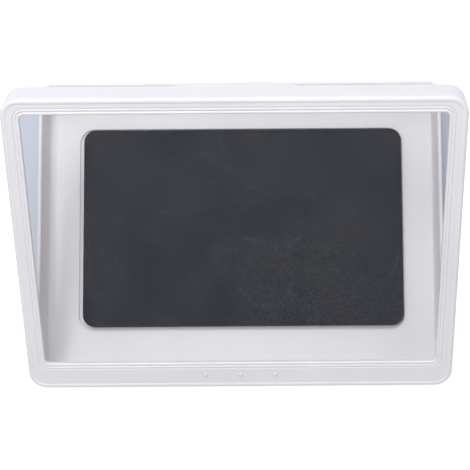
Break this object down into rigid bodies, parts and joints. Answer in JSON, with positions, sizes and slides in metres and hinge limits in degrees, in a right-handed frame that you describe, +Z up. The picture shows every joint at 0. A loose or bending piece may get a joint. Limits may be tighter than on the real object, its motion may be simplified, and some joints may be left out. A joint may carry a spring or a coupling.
{
  "type": "wet palette",
  "caption": "Hinged wet palette: thin-walled moulded tray with a recessed foam sponge, under a framed lid with a clear window, a thumb lip and a riveted pin hinge.",
  "frame": {"origin": "centre of the tray's flat underside, with the rubber feet standing 1 mm below it", "axes": "+X along the hinge pin, +Y from the hinge to the thumb lip, +Z up; the lid stands open at 36 degrees at rest"},
  "size_m": [0.208, 0.155, 0.1148],
  "materials": {
    "tray_plastic": "moulded, satin",
    "lid_plastic": "moulded, satin",
    "leaf_plastic": "moulded",
    "rivet_plastic": "moulded",
    "window_clear": "clear, polished",
    "sponge_foam": "open-cell foam",
    "foot_rubber": "matt",
    "pin_steel": "drawn wire"
  },
  "bodies": {
    "base": {"base_tray": "tray_plastic", "sponge": "sponge_foam", "foot_hinge_left": "foot_rubber", "foot_hinge_right": "foot_rubber", "foot_lip_left": "foot_rubber", "foot_lip_right": "foot_rubber", "hinge_pin": "pin_steel"},
    "lid": {"lid_frame": "lid_plastic", "lid_window": "window_clear", "hinge_leaf": "leaf_plastic", "leaf_rivet_left": "rivet_plastic", "leaf_rivet_middle": "rivet_plastic", "leaf_rivet_right": "rivet_plastic"}
  },
  "joints": [
    {"name": "lid_hinge", "type": "hinge", "parent": "base", "child": "lid", "pos_m": [0, -0.0746, 0.021], "axis": [1, 0, 0], "range_deg": [-36, 84]}
  ]
}
